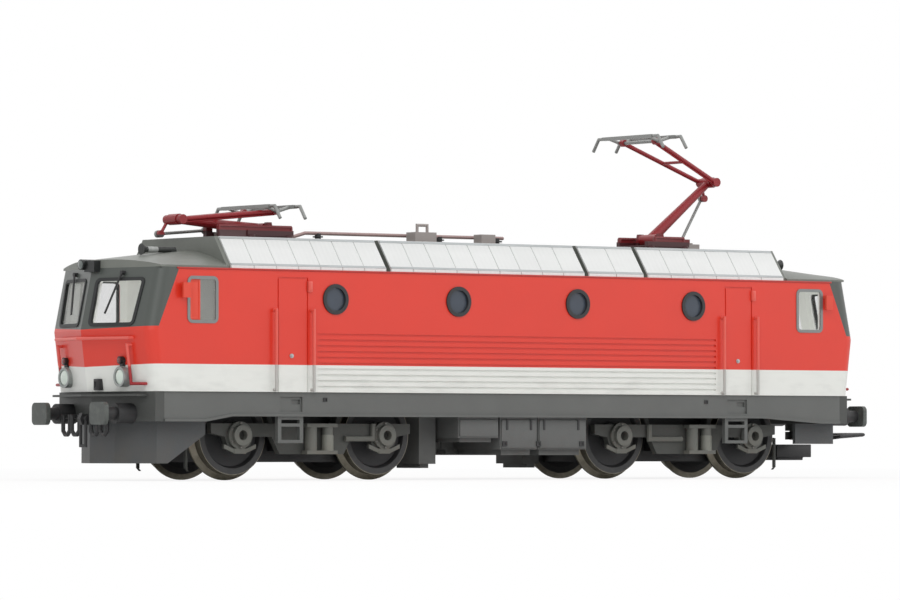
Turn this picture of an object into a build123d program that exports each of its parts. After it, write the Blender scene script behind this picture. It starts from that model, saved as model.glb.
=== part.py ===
"""H0 scale model of a four-axle electric locomotive, in millimetres.

Front end at -X, left side at -Y, up is +Z. The origin lies on the track centre,
midway between the bogie pivots, level with the lowest point of the wheel flanges.
"""
import os
from math import cos, radians, sin

from build123d import *

# Running gear
tread_d = 14.94
flange = 1.0
wheelbase = 33.33
pivot_x = 45.4
back_to_back = 14.4
wheel_w = 2.8
axle_r = 1.5
flange_t = 0.4
rim_t = 1.2
run_gap = 0.05
half_base = wheelbase / 2
axle_z = flange + tread_d / 2
wheel_r = tread_d / 2 + flange
wheel_y = back_to_back / 2 + wheel_w

# Body shell; every lead is measured forward from the end of the straight side walls
body_w = 34.0
wall = 1.1
overhang = 17.935
sill_z = 16.6
crease_z = 28.0
gutter_z = 39.7
nose_rake = 0.256
corner_r = 2.4
half_w = body_w / 2
wall_x = pivot_x + half_base + overhang
nose_levels = [
    {"z": sill_z, "lead": 3.65},
    {"z": crease_z, "lead": 5.15},
    {"z": gutter_z, "lead": 2.65},
]

# Openings of the shell, from the shell's edges
windscreen = {"inner": 2.0, "side": 3.6, "sill": 1.1, "head": 2.2, "lean": 0.9, "r": 0.8}
cab_window = {"back": 9.7, "front": 3.4, "sill": 10.1, "head": 1.9, "r": 0.9}
porthole_x = [-43.3, -14.4, 14.5, 43.4]
porthole_drop = 5.5
porthole_r = 2.2
rim_w = 0.7
rim_out = 0.3
pane = 0.5
pane_set = 0.3
rib = {"gap": 2.3, "up": 0.8, "pitch": 1.1, "count": 10, "deep": 0.25, "w": 0.4}
doors = [{"end": -1, "off": 23.4}, {"end": 1, "off": 21.5}]
door_w = 7.0
door_drop = 1.5
door_line = 0.3
door_deep = 0.2
porthole_z = gutter_z - porthole_drop

# Underframe
sill_in = 0.4
sill_t = 1.2
sill_low = 12.0
sill_drop = 1.0
sill_lead = 1.7
sill_slopes = [{"start": 13.5, "stop": 7.5}, {"start": 17.5, "stop": 3.0}]
lip = {"h": 0.5, "out": 0.25}
pocket = {"w": 5.0, "edge": 0.9, "deep": 0.35, "hole_w": 2.0, "hole_h": 0.9}
beam_lead = 3.68
beam_rake = 0.2
board = {"out": 2.4, "t": 0.4, "drop": 0.5, "in": 2.0}
floor_up = 1.4
floor_t = 1.2
pivot_r = 2.0
well = {"half": 7.0, "room": 2.5}
mass_in = {"x": 2.0, "y": 6.0, "z": 3.7}
sill_x = wall_x + sill_lead
sill_end_low = sill_low - sill_drop
sill_inner = half_w - sill_in - sill_t
beam_y = half_w - sill_in
beam_apex = wall_x + beam_lead + beam_rake * beam_y
floor_z = sill_z + floor_up
floor_top = floor_z + floor_t

# Buffers
buffer_len = 5.3
buffer_y = 10.06
buffer_z = 12.5
buffer_plate = {"w": 5.2, "h": 4.2, "t": 0.9, "r": 1.0}
buffer_shank_r = 1.2
buffer_sleeve_r = 1.9
buffer_sleeve = 3.2
buffer_x = beam_apex + buffer_len

# Roof
roof_h = 6.1
roof_in = 0.2
roof_foot_h = 0.5
roof_edge_in = 4.4
grille_t = 0.4
grille_line = 0.2
grille_pitch = 5.4
grille_end = 0.9
cab_len = 12.25
hatch_gap = 1.2
seam_back = {"front": 37.05, "middle": 50.75, "rear": 36.05}
cab_roof = {"back": 3.8, "front": 1.5, "edge": 0.4}
roof_z = gutter_z + roof_h
roof_end = wall_x - cab_len
hatch_seams = [seam_back["front"] - roof_end, roof_end - seam_back["middle"], roof_end - seam_back["rear"]]
roof_foot_y = half_w - roof_in
roof_edge_y = half_w - roof_edge_in

# Cab fittings
wall_t = 1.2
cab_gap = 1.0
desk = {"deep": 5.0, "drop": 0.4, "slope": 1.4}
seat = {"back": 4.6, "size": 3.0, "y": 6.5, "h": 5.3, "rest": 5.0, "t": 0.8}
lamp = {"in": 7.4, "up": 2.7, "r": 1.9, "out": 1.3, "glass_r": 1.45, "glass": 0.4}
tail = {"up": 5.8, "r": 0.7, "out": 0.9, "neck": 1.0}
top_lamp = {"y": 1.8, "up": 0.7, "r": 1.0, "out": 1.4, "box_w": 3.4, "box_h": 1.3, "box_out": 0.9}
wiper = {"in": 8.8, "drop": 1.0, "reach": 7.6, "lean": 2.4, "out": 0.55, "r": 0.2, "foot_r": 0.4}
mirror_box = {"back": 3.1, "w": 1.7, "out": 1.3, "drop": 2.9, "h": 2.8, "arm": 0.5}
handrail_r = 0.3
handrail_out = 0.9
door_rail = {"gap": 0.8, "foot": 0.4, "drop": 7.7}
end_rail = {"drop": 1.5, "in": 4.5, "corner_in": 5.0, "corner_top": 8.6, "foot": 1.4, "foot_y": 2.7}
horn = {"back": 9.0, "front": 2.4, "y": 2.6, "up": 3.7, "r": 0.55, "bell_r": 1.1, "bell": 1.0, "foot": 1.2}

# Ends below the beam
plough = {"flat": 4.3, "in": 4.0, "lead": 4.7, "wing": 1.0, "t": 0.9, "z": 3.2}
cheek = {"back": 9.8, "low": 8.6, "toe": 1.4}
guard = {"back": 7.0, "lead": 3.0, "t": 0.8, "z": 6.9}
hook = {"out": 2.4, "w": 1.0, "root": 2.0, "z0": 10.4, "z1": 12.6, "pin_r": 0.45}
link = {"r": 0.3, "half": 0.9, "drop": 5.0}
hose = {"r": 0.4, "out": 1.5, "up": 1.0, "sag": 3.4, "bend": 0.7}
hose_legs = [{"y0": 2.0, "y1": 4.5}, {"y0": 5.3, "y1": 7.6}]
coupler = {"lead": 3.6, "z": 8.6, "pin_r": 1.0, "eye_r": 1.9, "t": 1.6, "arm": 4.4, "arm_w": 2.8}
coupler_head = {"x0": 3.4, "x1": 7.6, "w": 5.2, "up": 0.4, "down": 1.4}
loop = {"x0": 6.4, "x1": 7.0, "reach": 13.0, "half": 6.2, "root": 2.2, "r": 0.4, "dip": 0.6, "rise": 0.2}

# Underfloor boxes and door steps
step_frame = {"w": 5.8, "t": 0.9, "z": 7.0, "post": 0.8, "tread": 0.6, "split": 0.62}
box_gap = 2.3
box_in = 0.2
box_room = pivot_x - half_base - wheel_r - box_gap
boxes = [
    {"from": -1.0, "to": -0.78, "half": 9.0, "z": 3.0, "inset": 1.0, "lower": 0.8},
    {"from": -0.73, "to": -0.195, "half": sill_inner - box_in, "z": 8.0, "inset": 1.0, "lower": 0.8},
    {"from": -0.173, "to": 0.328, "half": sill_inner - box_in, "z": 5.8, "inset": 1.0, "lower": 1.1},
    {"from": 0.34, "to": 1.0, "half": sill_inner - box_in, "z": 5.8, "inset": 1.0, "lower": 1.1},
]
box_split = 0.4

# Roof conductors
bar = {"r": 0.35, "up": 1.6, "x0": -38.5, "x1": 9.0, "end": 3.6, "end_up": 0.6}
insulators = [{"x": -35.5, "r": 1.0}, {"x": -6.6, "r": 1.0}, {"x": 7.2, "r": 1.3}]
shed = {"count": 2, "up": 0.3, "pitch": 0.5, "t": 0.25, "core": 0.6}
main_switch = {"x0": -15.5, "x1": -10.4, "y0": -4.4, "y1": -1.4, "h": 2.2}
switch_loop = {"x0": -14.0, "x1": -11.6, "h": 3.6, "r": 0.3}
side_switch = {"x0": 0.8, "x1": 4.2, "y0": -4.0, "y1": -1.4, "h": 2.1}

# Pantographs, drawn with the knee on the +X side of the pivot
panto_up = 2.1
panto_back = {"front": 18.45, "rear": 21.75}
lower_len = 19.2
upper_len = 19.3
low_deg = 4.2
high_deg = 38.5
upper_high_deg = 23.4
upper_ratio = 0.524
lever = {"x": 0.8, "z": -3.1}
rod_foot = {"x": 10.2, "z": -0.4}
rod_r = 0.3
rod_y = 2.9
rod_w = 0.6
eye_r = 0.7
pin_r = 0.55
small_pin_r = 0.35
bed = {"x0": -4.6, "x1": 6.0, "y": 4.6, "beam": 1.0, "h": 1.1, "tie": 0.3, "drop": 0.4, "foot_r": 0.9}
tower = {"y": 3.2, "t": 1.0, "half": 1.0, "up": 1.2}
drive = {"x0": 6.3, "x1": 9.6, "y0": -3.9, "y1": 1.0, "h": 1.3, "peg_r": 0.3, "peg_h": 0.25}
bracket = {"back": 0.4, "front": 1.0, "y0": 1.2, "stem": 0.8}
arm = {"root_r": 1.1, "tip_r": 0.75, "hub_y": 2.5, "knee_y": 1.6, "knee_r": 1.05, "upper_r": 0.45}
fork = {"gap": 0.15, "y": 2.9, "r": 0.9, "end_y": 5.2, "end_t": 1.0, "tie": 0.3, "guide": 0.16, "set": 0.6}
strip = {"half": 8.0, "gap": 5.8, "w": 0.9, "h": 0.7, "up": 1.2, "bow_y": 1.1, "set": 0.2}
strip_horn = {"flat": 1.6, "reach": 3.4, "drop": 2.4, "r": 0.33}
panto_z = roof_z + panto_up

# Bogies
gear = {"end": 4.8, "in": 1.0, "down": 5.07, "shoulder": 4.53, "half": 12.0, "gap": 1.8}
cross_bar = {"gap": 2.2, "down": 2.97, "up": 2.03}
frame_share = {"inner": 0.115, "face": 0.315, "outer": 0.6}
frame_clear = 0.3
frame_end = 6.3
frame_edge = {"end": 1.9, "waist": 2.5, "foot": 2.57, "plank": 3.57, "axle": 3.2, "axle_foot": 2.4}
plank = {"top": 9.2, "foot": 7.4, "t": 0.7, "over": 1.6}
axle_cover = {"r": 2.6, "ring_r": 1.95, "hole_r": 0.95, "base": 0.3, "ring": 0.75}
bogie_looks = [
    {"columns": [{"x": -0.8, "share": 0.6}, {"x": 3.0, "share": 0.52}], "pipe": 7.4, "riser": 14.0},
    {"columns": [{"x": 0.9, "share": 0.6}, {"x": 4.4, "share": 0.52}], "pipe": -1.4, "riser": -9.6},
]
pipe = {"r": 0.55, "down": 0.6, "set": 0.35}
side_room = half_w - wheel_y
frame_y = wheel_y + frame_share["inner"] * side_room
frame_face = wheel_y + frame_share["face"] * side_room
bogie_reach = wheel_y + frame_share["outer"] * side_room
layer = bogie_reach - frame_face
frame_top = sill_end_low - frame_clear

# Wires are swept with this many flats
flat_count = 8


def block(x0, x1, y0, y1, z0, z1):
    size = Box(x1 - x0, y1 - y0, z1 - z0)
    return Pos((x0 + x1) / 2, (y0 + y1) / 2, (z0 + z1) / 2) * size


def outline(points, r=0.0):
    face = make_face(Polyline(*points, close=True))
    return fillet(face.vertices(), r) if r else face


def prism_x(points, x0, x1, r=0.0):
    return extrude(Plane.YZ.offset(x0) * outline(points, r), amount=x1 - x0)


def prism_y(points, y0, y1, r=0.0):
    return extrude(Plane.XZ.offset(-y1) * outline(points, r), amount=y1 - y0)


def prism_z(points, z0, z1, r=0.0):
    return extrude(Plane.XY.offset(z0) * outline(points, r), amount=z1 - z0)


def tube(start, end, r, end_r=None):
    run = Vector(*end) - Vector(*start)
    base = (Align.CENTER, Align.CENTER, Align.MIN)
    if end_r is None:
        return Plane(origin=start, z_dir=run) * Cylinder(r, run.length, align=base)
    return Plane(origin=start, z_dir=run) * Cone(r, end_r, run.length, align=base)


def cross_tube(x, z, y0, y1, r):
    return tube((x, y0, z), (x, y1, z), r)


def post(x, y, z0, z1, r):
    return tube((x, y, z0), (x, y, z1), r)


def wire(points, r):
    path = Polyline(*points)
    section = Plane(origin=path @ 0, z_dir=path % 0) * RegularPolygon(r, flat_count)
    return sweep(section, path=path, transition=Transition.RIGHT)


def rectangle(x0, x1, z0, z1):
    return [(x0, z0), (x1, z0), (x1, z1), (x0, z1)]


def ends(shape):
    return [shape, mirror(shape, about=Plane.YZ)]


def sides(shape):
    return [shape, mirror(shape, about=Plane.XZ)]


def corners(shape):
    return [copy for end in ends(shape) for copy in sides(end)]


def joined(shapes):
    whole = shapes[0]
    for shape in shapes[1:]:
        whole += shape
    return whole


def group(shapes):
    return Compound([solid for shape in shapes for solid in shape.solids()])


def vee(apex, rake, y, back):
    shoulder = apex - rake * y
    return [(-back, -y), (-shoulder, -y), (-apex, 0), (-shoulder, y), (-back, y)]


def nose_lead(z):
    low, high = nose_levels[:2] if z < crease_z else nose_levels[1:]
    share = (z - low["z"]) / (high["z"] - low["z"])
    return low["lead"] + share * (high["lead"] - low["lead"])


def nose_x(y, z):
    return wall_x + nose_lead(z) + nose_rake * (half_w - abs(y))


def nose_section(level, inset):
    apex = nose_x(0, level["z"]) - inset * (1 + nose_rake**2) ** 0.5
    y = half_w - inset
    face = outline(vee(apex, nose_rake, y, wall_x))
    turned = [v for v in face.vertices() if abs(v.X + apex - nose_rake * y) < 0.01]
    return Plane.XY.offset(level["z"]) * fillet(turned, corner_r - inset)


def nose_solid(inset):
    return loft([nose_section(level, inset) for level in nose_levels], ruled=True)


def windscreen_cut(side):
    w = windscreen
    outer = half_w - w["side"]
    z0 = crease_z + w["sill"]
    z1 = gutter_z - w["head"]
    points = [(w["inner"], z0), (outer - w["lean"], z0), (outer, z1), (w["inner"], z1)]
    return prism_x([(side * y, z) for y, z in points], -buffer_x, -wall_x, w["r"])


def make_nose_half():
    shell = nose_solid(0) - nose_solid(wall) - windscreen_cut(-1)
    return shell & block(-buffer_x, -wall_x, -half_w, 0, sill_z, gutter_z)


def cab_window_cut(end):
    w = cab_window
    x0 = end * (wall_x - w["back"])
    x1 = end * (wall_x - w["front"])
    points = rectangle(x0, x1, gutter_z - w["sill"], gutter_z - w["head"])
    return prism_y(points, -half_w, wall - half_w, w["r"])


def door_span(door):
    outer = door["end"] * (wall_x - door["off"])
    inner = outer - door["end"] * door_w
    return min(outer, inner), max(outer, inner)


def make_side_wall():
    side = block(-wall_x, wall_x, -half_w, wall - half_w, sill_z, gutter_z)
    for end in (-1, 1):
        side -= cab_window_cut(end)
    for x in porthole_x:
        side -= cross_tube(x, porthole_z, -half_w, wall - half_w, porthole_r)
    (front_x0, front_x1), (rear_x0, rear_x1) = [door_span(door) for door in doors]
    for n in range(rib["count"]):
        z = sill_z + rib["up"] + n * rib["pitch"]
        y1 = rib["deep"] - half_w
        side -= block(front_x1 + rib["gap"], rear_x0 - rib["gap"], -half_w, y1, z, z + rib["w"])
    y1 = door_deep - half_w
    top = gutter_z - door_drop
    for x0, x1 in ((front_x0, front_x1), (rear_x0, rear_x1)):
        leaf = block(x0, x1, -half_w, y1, sill_z, top)
        side -= leaf - block(x0 + door_line, x1 - door_line, -half_w, y1, sill_z, top - door_line)
    return side


def make_cab_glass():
    sheet = nose_solid(pane_set) - nose_solid(pane_set + pane)
    screens = [sheet & windscreen_cut(1), sheet & windscreen_cut(-1)]
    skin = block(-wall_x, 0, pane_set - half_w, pane_set + pane - half_w, sill_z, gutter_z)
    window = skin & cab_window_cut(-1)
    return ends(screens[0]) + ends(screens[1]) + corners(window)


def make_porthole_parts():
    rims = []
    panes = []
    for x in porthole_x:
        outer = cross_tube(x, porthole_z, -half_w - rim_out, -half_w, porthole_r + rim_w)
        rims += sides(outer - cross_tube(x, porthole_z, -half_w - rim_out, -half_w, porthole_r))
        y0 = pane_set - half_w
        panes += sides(cross_tube(x, porthole_z, y0, y0 + pane, porthole_r))
    return rims, panes


def sill_edge(up):
    front, rear = sill_slopes
    points = [(-sill_x, sill_end_low), (front["stop"] - wall_x, sill_end_low)]
    points += [(front["start"] - wall_x, sill_low), (wall_x - rear["start"], sill_low)]
    points += [(wall_x - rear["stop"], sill_end_low), (sill_x, sill_end_low)]
    return [(x, z + up) for x, z in points]


def make_sill():
    y0 = sill_in - half_w
    plate = prism_y(sill_edge(0) + [(sill_x, sill_z), (-sill_x, sill_z)], y0, y0 + sill_t)
    plate += prism_y(sill_edge(0) + sill_edge(lip["h"])[::-1], y0 - lip["out"], y0 + lip["out"])
    for door in doors:
        middle = sum(door_span(door)) / 2
        z0 = sill_low + pocket["edge"]
        z1 = sill_z - pocket["edge"]
        x1 = middle + pocket["w"] / 2
        plate -= block(x1 - pocket["w"], x1, y0, y0 + pocket["deep"], z0, z1)
        z = (z0 + z1) / 2
        rim = pocket["deep"]
        plate -= block(x1 - rim - pocket["hole_w"], x1 - rim, y0, y0 + 2 * rim, z, z + pocket["hole_h"])
    return plate


def make_beam():
    beam = prism_z(vee(beam_apex, beam_rake, beam_y, sill_x), sill_end_low, sill_z)
    z1 = sill_z - board["drop"]
    tread = vee(beam_apex + board["out"], beam_rake, beam_y - board["in"], sill_x)
    return beam + prism_z(tread, z1 - board["t"], z1)


def make_buffer():
    p = buffer_plate
    y0, y1 = buffer_y - p["w"] / 2, buffer_y + p["w"] / 2
    z0, z1 = buffer_z - p["h"] / 2, buffer_z + p["h"] / 2
    plate = prism_x(rectangle(-y1, -y0, z0, z1), -buffer_x, p["t"] - buffer_x, p["r"])
    seat = beam_rake * (buffer_y - buffer_sleeve_r) - beam_apex
    foot = seat + beam_rake * 2 * buffer_sleeve_r
    shank = tube((p["t"] / 2 - buffer_x, -buffer_y, buffer_z), (seat, -buffer_y, buffer_z), buffer_shank_r)
    sleeve = tube((seat - buffer_sleeve, -buffer_y, buffer_z), (foot, -buffer_y, buffer_z), buffer_sleeve_r)
    return plate + shank + sleeve - make_beam()


def make_chassis():
    y = half_w - wall
    plate = block(-wall_x, wall_x, -y, y, floor_z, floor_top)
    inner = back_to_back / 2 - well["room"]
    for end in (-1, 1):
        plate -= post(end * pivot_x, 0, floor_z, floor_top, pivot_r + run_gap)
        for step in (-1, 1):
            x = end * pivot_x + step * half_base
            half = well["half"]
            for cut in sides(block(x - half, x + half, inner, wheel_y + well["room"], floor_z, floor_top)):
                plate -= cut
    return plate


def make_mass_block():
    x = box_room - mass_in["x"]
    y = half_w - mass_in["y"]
    return block(-x, x, -y, y, floor_top, gutter_z - mass_in["z"])


def roof_profile(inset):
    half = [(roof_foot_y - inset, gutter_z), (roof_foot_y - inset, gutter_z + roof_foot_h)]
    half.append((roof_edge_y - inset, roof_z))
    return [(-y, z) for y, z in half] + half[::-1]


def hatch_spans():
    marks = [-roof_end - hatch_gap / 2] + hatch_seams + [roof_end + hatch_gap / 2]
    return [(a + hatch_gap / 2, b - hatch_gap / 2) for a, b in zip(marks, marks[1:])]


def make_hatch(x0, x1):
    return prism_x(roof_profile(grille_t), x0, x1)


def make_grilles():
    plates = []
    for x0, x1 in hatch_spans():
        x0 += grille_end if x0 == -roof_end else 0
        x1 -= grille_end if x1 == roof_end else 0
        skin = prism_x(roof_profile(0), x0, x1) - prism_x(roof_profile(grille_t), x0, x1)
        skin &= block(x0, x1, -half_w, grille_t - roof_edge_y, gutter_z, roof_z)
        count = round((x1 - x0) / grille_pitch)
        for n in range(1, count):
            x = x0 + n * (x1 - x0) / count - grille_line / 2
            groove = prism_x(roof_profile(0), x, x + grille_line)
            skin -= groove - prism_x(roof_profile(grille_t / 2), x, x + grille_line)
        plates += sides(skin)
    return plates


def arch(x, rise):
    edge = gutter_z + cab_roof["edge"]
    y = roof_foot_y
    foot = Polyline((-y, edge), (-y, gutter_z), (y, gutter_z), (y, edge))
    crown = ThreePointArc((-y, edge), (0, gutter_z + rise), (y, edge))
    return Plane.YZ.offset(x) * make_face([crown, foot])


def arch_hull():
    return loft([arch(-nose_x(0, gutter_z), cab_roof["front"]), arch(-roof_end, cab_roof["back"])])


def make_cab_roof():
    plan = vee(nose_x(0, gutter_z), nose_rake, half_w, roof_end)
    return arch_hull() & prism_z(plan, gutter_z, roof_z)


def make_cab_interior():
    y = half_w - wall
    back = block(-roof_end - wall_t, -roof_end, -y, y, floor_top, gutter_z)
    front = wall_x + nose_levels[0]["lead"]
    top = crease_z - desk["drop"]
    console = [(-front, floor_top), (-front, top), (desk["deep"] / 2 - front, top)]
    console += [(desk["deep"] - front, top - desk["slope"]), (desk["deep"] - front, floor_top)]
    table = prism_y(console, cab_gap - y, y - cab_gap)
    x0 = -roof_end - seat["back"] - seat["size"]
    x1 = x0 + seat["size"]
    y0 = -seat["y"] - seat["size"] / 2
    y1 = y0 + seat["size"]
    z1 = floor_top + seat["h"]
    chair = block(x0, x1, y0, y1, floor_top, z1) + block(x1 - seat["t"], x1, y0, y1, z1, z1 + seat["rest"])
    base = block(-front, -roof_end, cab_gap - y, y - cab_gap, floor_top, floor_top + cab_gap / 2)
    inside = nose_solid(wall) + block(-wall_x, -roof_end, -y, y, floor_z, gutter_z)
    return (back + table + chair + base) & inside


def make_lamps():
    y = lamp["in"] - half_w
    z = sill_z + lamp["up"]
    front = -nose_x(y, z) - lamp["out"]
    body = tube((front, y, z), (-wall_x, y, z), lamp["r"])
    body -= tube((front, y, z), (front + lamp["glass"], y, z), lamp["glass_r"])
    tail_z = sill_z + tail["up"]
    tail_x = -nose_x(y, tail_z) - tail["out"]
    body += tube((tail_x, y, tail_z), (-wall_x, y, tail_z), tail["r"])
    half = tail["neck"] / 2
    neck = block(tail_x + half, -wall_x, y - half, y + half, z, tail_z)
    return body + neck - nose_solid(0)


def make_top_lamp():
    apex = nose_x(0, gutter_z)
    z = gutter_z + top_lamp["up"]
    round_lamp = tube((-apex - top_lamp["out"], top_lamp["y"], z), (-wall_x, top_lamp["y"], z), top_lamp["r"])
    y1 = top_lamp["y"] - top_lamp["r"] / 2
    z1 = z + top_lamp["box_h"] / 2
    z0 = gutter_z - top_lamp["up"]
    box = block(-apex - top_lamp["box_out"], -wall_x, y1 - top_lamp["box_w"], y1, z0, z1)
    return round_lamp + box - nose_solid(0) - make_cab_roof()


def make_wiper():
    y = wiper["in"] - half_w
    z1 = gutter_z - wiper["drop"]
    z0 = z1 - wiper["reach"]
    top = (-nose_x(y, z1) - wiper["out"], y, z1)
    low_y = y + wiper["lean"]
    blade = tube(top, (-nose_x(low_y, z0) - wiper["out"], low_y, z0), wiper["r"])
    spindle = tube((top[0] - wiper["r"], y, z1), (-wall_x, y, z1), wiper["foot_r"])
    return blade + spindle - nose_solid(0)


def make_mirror():
    m = mirror_box
    x1 = m["back"] - wall_x
    z1 = gutter_z - m["drop"]
    glass = block(x1 - m["w"], x1, -half_w - m["out"], m["arm"] - m["out"] - half_w, z1 - m["h"], z1)
    return glass + block(x1 - m["arm"], x1, -half_w - m["out"], -half_w, z1 - m["arm"], z1)


def make_door_rails():
    rails = []
    z0 = sill_z + door_rail["foot"]
    z1 = gutter_z - door_rail["drop"]
    y = -half_w - handrail_out
    for door in doors:
        x0, x1 = door_span(door)
        for x in (x0 - door_rail["gap"], x1 + door_rail["gap"]):
            rails += sides(wire([(x, -half_w, z0), (x, y, z0), (x, y, z1), (x, -half_w, z1)], handrail_r))
    return rails


def rail_point(y, z, out):
    return (-nose_x(y, z) - out, y, z)


def make_end_rails():
    z = crease_z - end_rail["drop"]
    y = half_w - end_rail["in"]
    points = [rail_point(-y, z, -wall), rail_point(-y, z, handrail_out), rail_point(0, z, handrail_out)]
    points += [rail_point(y, z, handrail_out), rail_point(y, z, -wall)]
    across = wire(points, handrail_r) - nose_solid(0)
    y0 = end_rail["corner_in"] - half_w
    y1 = y0 - end_rail["foot_y"]
    z0 = sill_z + end_rail["foot"]
    z1 = sill_z + end_rail["corner_top"]
    points = [rail_point(y0, z1, -wall), rail_point(y0, z1, handrail_out), rail_point(y0, z0, handrail_out)]
    points += [rail_point(y1, z0, handrail_out), rail_point(y1, z0, -wall)]
    return [across] + sides(wire(points, handrail_r) - nose_solid(0))


def make_horn():
    x0 = -roof_end - horn["back"]
    x1 = -roof_end - horn["front"]
    y = -horn["y"]
    z = gutter_z + horn["up"]
    pipe_run = tube((x0, y, z), (x1, y, z), horn["r"])
    bell = tube((x0 - horn["bell"], y, z), (x0, y, z), horn["bell_r"], horn["r"])
    foot = block(x1 - horn["foot"], x1, y - horn["foot"] / 2, y + horn["foot"] / 2, gutter_z, z)
    return pipe_run + bell + foot - arch_hull()


def make_plough():
    p = plough
    wing = half_w - p["in"]
    outer = [(-p["wing"], -wing), (-p["lead"], -p["flat"]), (-p["lead"], p["flat"]), (-p["wing"], wing)]
    inner = [(x + p["t"], y) for x, y in outer[::-1]]
    return prism_z([(x - wall_x, y) for x, y in outer + inner], p["z"], sill_end_low)


def make_plough_cheek():
    front = plough["t"] - plough["wing"] - wall_x
    back = cheek["back"] - wall_x
    side = [(front, plough["z"]), (front, sill_end_low), (back, sill_end_low), (back, cheek["low"])]
    side.append((cheek["toe"] - wall_x, plough["z"]))
    y0 = plough["in"] - half_w
    return prism_y(side, y0, y0 + plough["t"])


def make_rear_guard():
    y0 = plough["in"] - half_w
    x0 = wall_x - guard["back"]
    return block(x0, wall_x + guard["lead"], y0, y0 + guard["t"], guard["z"], sill_end_low)


def make_draw_gear():
    x = -beam_apex - hook["out"]
    half = hook["w"] / 2
    middle = (hook["z0"] + hook["z1"]) / 2
    profile = [(-beam_apex + hook["root"], hook["z0"]), (x, hook["z0"]), (x - half, middle), (x, hook["z1"])]
    profile += [(x + half, middle + half), (-beam_apex + hook["root"], hook["z1"])]
    body = prism_y(profile, -half, half)
    eye = (x + half, middle)
    bail = [(eye[0], link["half"], middle), (eye[0], link["half"], middle - link["drop"])]
    bail += [(eye[0], -y, z) for _, y, z in bail[::-1]]
    body += wire(bail, link["r"]) + cross_tube(*eye, -link["half"] - half, link["half"] + half, hook["pin_r"])
    return body - make_beam()


def make_hoses():
    hoses = []
    z1 = sill_end_low + hose["up"]
    z0 = z1 - hose["sag"]
    for row in hose_legs:
        y0, y1 = row["y0"], row["y1"]
        x = -beam_apex - hose["out"]
        back = -sill_x - hose["out"]
        points = [(back, y0, z1), (x, y0, z1), (x, y0, z0 + hose["bend"]), (x, y0 + hose["bend"], z0)]
        points += [(x, y1 - hose["bend"], z0), (x, y1, z0 + hose["bend"]), (x, y1, z1), (back, y1, z1)]
        hoses += sides(wire(points, hose["r"]) - make_beam())
    return hoses


def make_steps():
    ladders = []
    s = step_frame
    y0 = -sill_inner - s["t"]
    for door in doors:
        middle = sum(door_span(door)) / 2
        x0, x1 = middle - s["w"] / 2, middle + s["w"] / 2
        frame = block(x0, x1, y0, -sill_inner, s["z"], sill_low)
        split = s["z"] + s["split"] * (sill_low - s["z"])
        for z0, z1 in ((s["z"] + s["tread"], split), (split + s["tread"], sill_low - s["tread"])):
            frame -= block(x0 + s["post"], x1 - s["post"], y0, -sill_inner, z0, z1)
        ladders += sides(frame)
    return ladders


def make_boxes():
    made = []
    for row in boxes:
        x0, x1 = row["from"] * box_room, row["to"] * box_room
        half, inset = row["half"], row["inset"]
        near = block(x0, x1, -half, -box_split / 2, row["z"], floor_z)
        near += block(x0 + inset, x1 - inset, inset - half, -box_split / 2, row["z"] - row["lower"], row["z"])
        made += [near, Rot(0, 0, 180) * near]
    return made


def make_busbar():
    z = roof_z + bar["up"]
    low = roof_z + bar["end_up"]
    return wire([(bar["x0"] - bar["end"], 0, low), (bar["x0"], 0, z), (bar["x1"], 0, z)], bar["r"])


def make_insulators():
    made = []
    for row in insulators:
        stack = post(row["x"], 0, roof_z, roof_z + bar["up"], row["r"] * shed["core"])
        for n in range(shed["count"]):
            z = roof_z + shed["up"] + n * shed["pitch"]
            stack += post(row["x"], 0, z, z + shed["t"], row["r"])
        made.append(stack - make_busbar())
    return made


def make_switchgear():
    made = []
    for row in (main_switch, side_switch):
        made.append(block(row["x0"], row["x1"], row["y0"], row["y1"], roof_z, roof_z + row["h"]))
    y = (main_switch["y0"] + main_switch["y1"]) / 2
    z0 = roof_z + main_switch["h"] / 2
    z1 = roof_z + switch_loop["h"]
    x0, x1 = switch_loop["x0"], switch_loop["x1"]
    made[0] += wire([(x0, y, z0), (x0, y, z1), (x1, y, z1), (x1, y, z0)], switch_loop["r"])
    return made


def turn(point, deg):
    c, s = cos(radians(deg)), sin(radians(deg))
    return (point[0] * c - point[1] * s, point[0] * s + point[1] * c)


def panto_points(deg):
    upper_deg = upper_high_deg + upper_ratio * (deg - high_deg)
    knee = turn((lower_len, 0), deg)
    head = turn((-upper_len, 0), -upper_deg)
    tip = turn((lever["x"], lever["z"]), upper_high_deg - upper_deg)
    return {
        "knee": (knee[0], panto_z + knee[1]),
        "head": (knee[0] + head[0], panto_z + knee[1] + head[1]),
        "heel": (knee[0] + tip[0], panto_z + knee[1] + tip[1]),
        "foot": (rod_foot["x"], panto_z + rod_foot["z"]),
    }


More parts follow.
